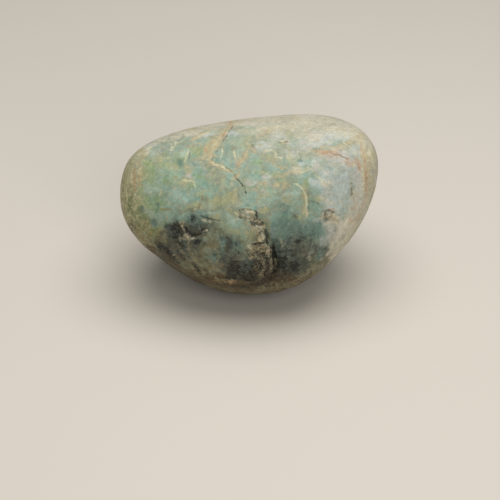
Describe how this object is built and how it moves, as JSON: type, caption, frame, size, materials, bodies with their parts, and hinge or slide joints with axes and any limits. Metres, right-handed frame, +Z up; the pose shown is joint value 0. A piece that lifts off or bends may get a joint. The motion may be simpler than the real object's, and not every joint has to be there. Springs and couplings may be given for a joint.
{
  "type": "raw jadeite boulder",
  "caption": "River-worn boulder of raw jadeite with a broken scar on its front, resting on a small flat.",
  "frame": {"origin": "middle of the small flat under the boulder that it rests on", "axes": "+X along the boulder's length, +Y towards its back, away from the scar, +Z up"},
  "size_m": [0.1464, 0.1145, 0.1007],
  "materials": {
    "jadeite_rind": "river-worn satin rind, mint green with tan veins and dark patches"
  },
  "bodies": {
    "root": {"boulder": "jadeite_rind"}
  },
  "joints": []
}
